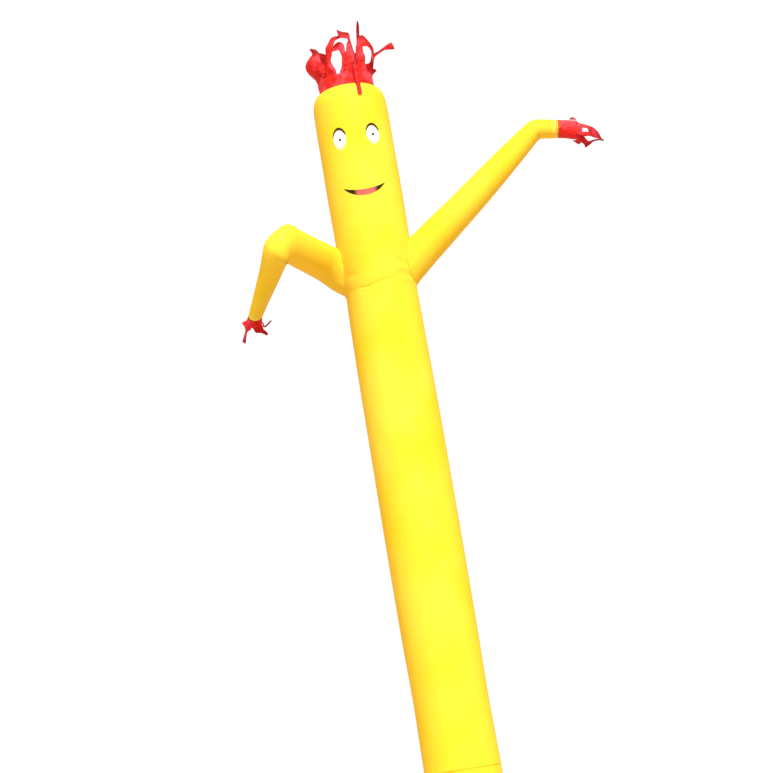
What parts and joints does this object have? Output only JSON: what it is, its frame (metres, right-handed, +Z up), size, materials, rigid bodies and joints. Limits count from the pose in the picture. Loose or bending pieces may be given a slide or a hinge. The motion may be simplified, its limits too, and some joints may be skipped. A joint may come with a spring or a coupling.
{
  "type": "inflatable air dancer",
  "caption": "Tall blown-up nylon tube figure with a printed smiling face, waving sleeves, and red streamer hair and fingers, open at the hem for a blower.",
  "frame": {"origin": "centre of the tube at the level of its hem, where the blower's outlet ring holds it", "axes": "+Z up along the tube, -Y the way the face looks, +X towards the raised sleeve"},
  "size_m": [2.4299, 0.7791, 6.202],
  "materials": {
    "yellow_nylon": "smooth thin woven nylon, slightly glossy",
    "red_nylon": "smooth thin woven nylon, slightly glossy"
  },
  "bodies": {
    "root": {"leg_lower": "yellow_nylon", "leg_upper": "yellow_nylon", "torso_head": "yellow_nylon", "arm_left": "yellow_nylon", "arm_right": "yellow_nylon", "hair_collar": "red_nylon", "hair_fringe": "red_nylon", "cuff_left": "red_nylon", "cuff_right": "red_nylon", "fringe_left": "red_nylon", "fringe_right": "red_nylon"}
  },
  "joints": []
}
